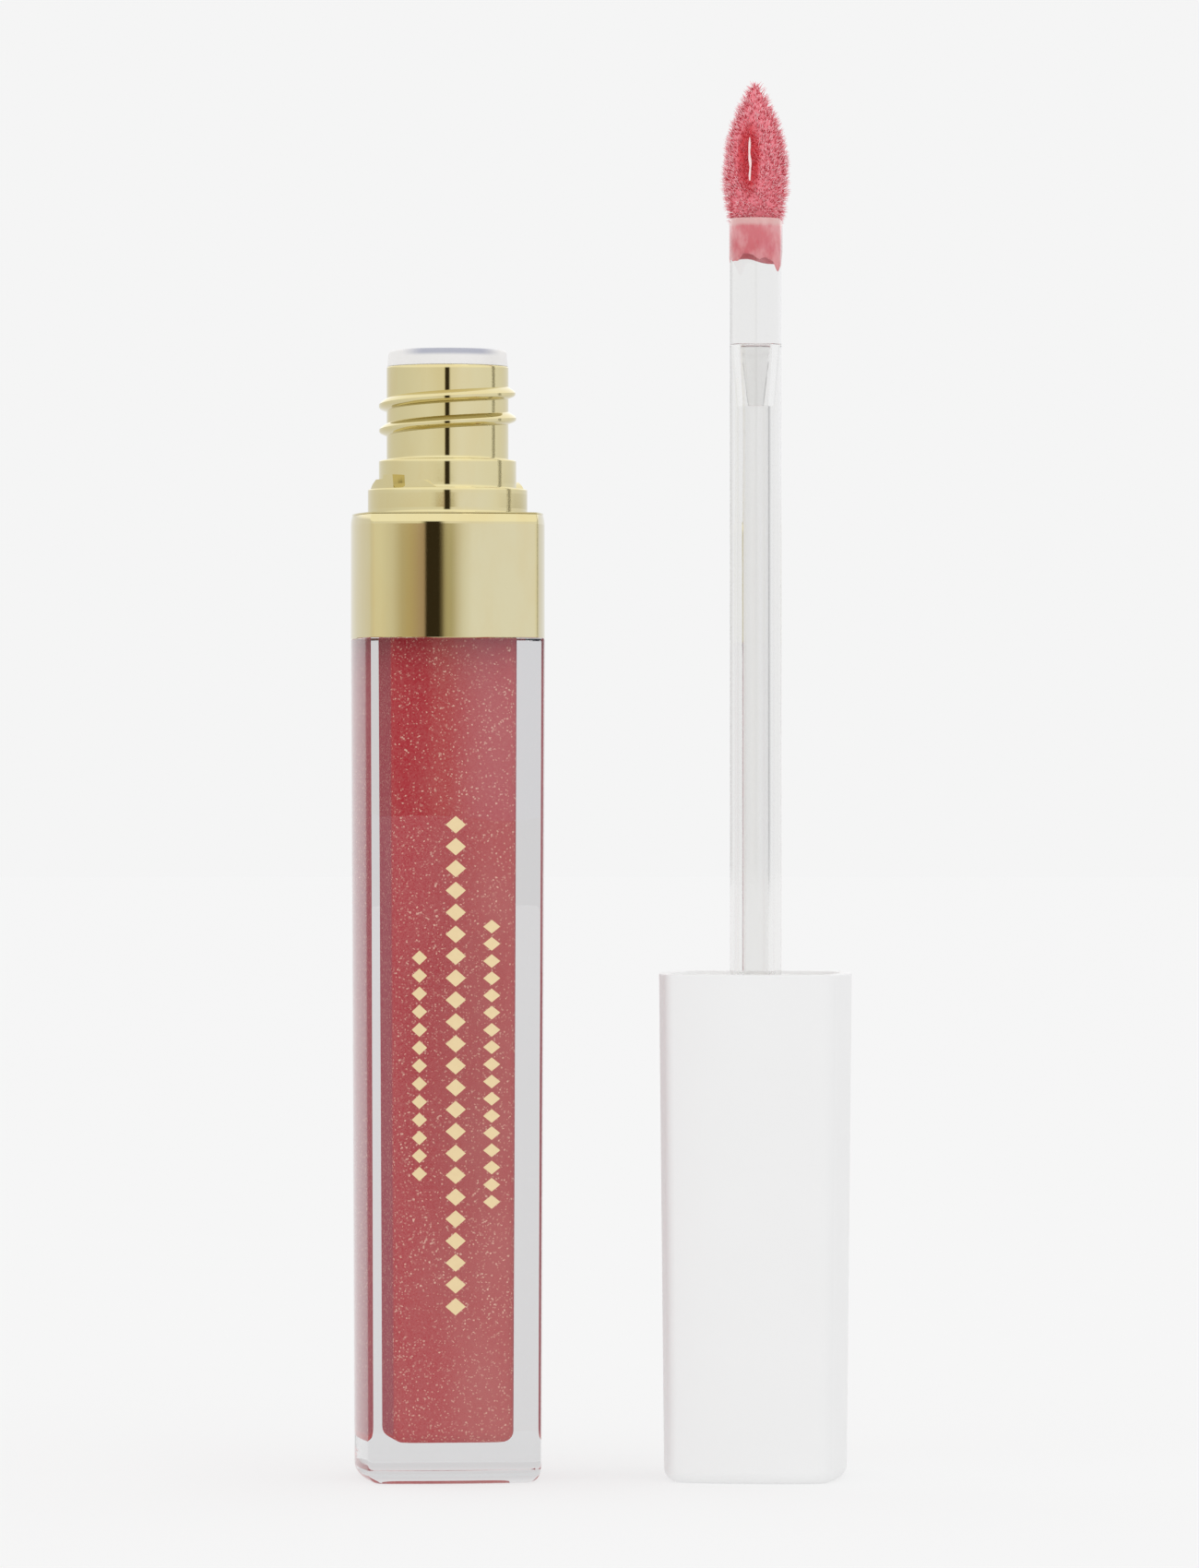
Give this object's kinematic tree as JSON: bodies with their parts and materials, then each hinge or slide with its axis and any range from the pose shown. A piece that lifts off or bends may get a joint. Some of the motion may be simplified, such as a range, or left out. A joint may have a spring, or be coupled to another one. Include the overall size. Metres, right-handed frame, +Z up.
{
  "type": "lip gloss tube",
  "caption": "Open square lip gloss tube with a gold threaded neck, and its doe-foot applicator standing beside it on its white cap.",
  "frame": {"origin": "centre of the tube's flat base", "axes": "+Z up along the tube's axis towards its mouth; the tube's printed front face looks towards -Y and the applicator stands on the +X side"},
  "size_m": [0.0399, 0.0181, 0.111],
  "materials": {
    "clear_body": "clear, thick-walled, polished",
    "gold_collar": "vacuum-metallised champagne gold, mirror bright",
    "wiper_plastic": "translucent soft natural plastic",
    "gloss": "pearlescent pink gel with fine gold shimmer",
    "foil": "hot-stamped pale gold foil",
    "cap_white": "satin white",
    "liner_white": "natural white moulding",
    "clear_stem": "clear, polished",
    "clear_plug": "clear, slightly hazy",
    "flock": "short nylon flock wetted with pink gloss",
    "gloss_smear": "thin wet film"
  },
  "bodies": {
    "tube": {"bottle": "clear_body", "collar_neck": "gold_collar", "wiper": "wiper_plastic", "gloss_fill": "gloss", "foil_print": "foil"},
    "stem_body": {"stem": "clear_stem"},
    "cap_body": {"outer_cap": "cap_white", "inner_cap": "liner_white", "tip_core": "clear_plug", "flocked_tip": "flock", "gloss_film": "gloss_smear"}
  },
  "joints": [
    {"name": "applicator_turn_over", "type": "hinge", "parent": "tube", "child": "stem_body", "pos_m": [0.01218, -0.00128, 0.10138], "axis": [-0.1045, -0.9945, 0], "range_deg": [0, 180]},
    {"name": "cap_turn", "type": "hinge", "parent": "stem_body", "child": "cap_body", "pos_m": [0.02437, -0.00256, 0.04], "axis": [0, 0, 1], "continuous": true}
  ]
}
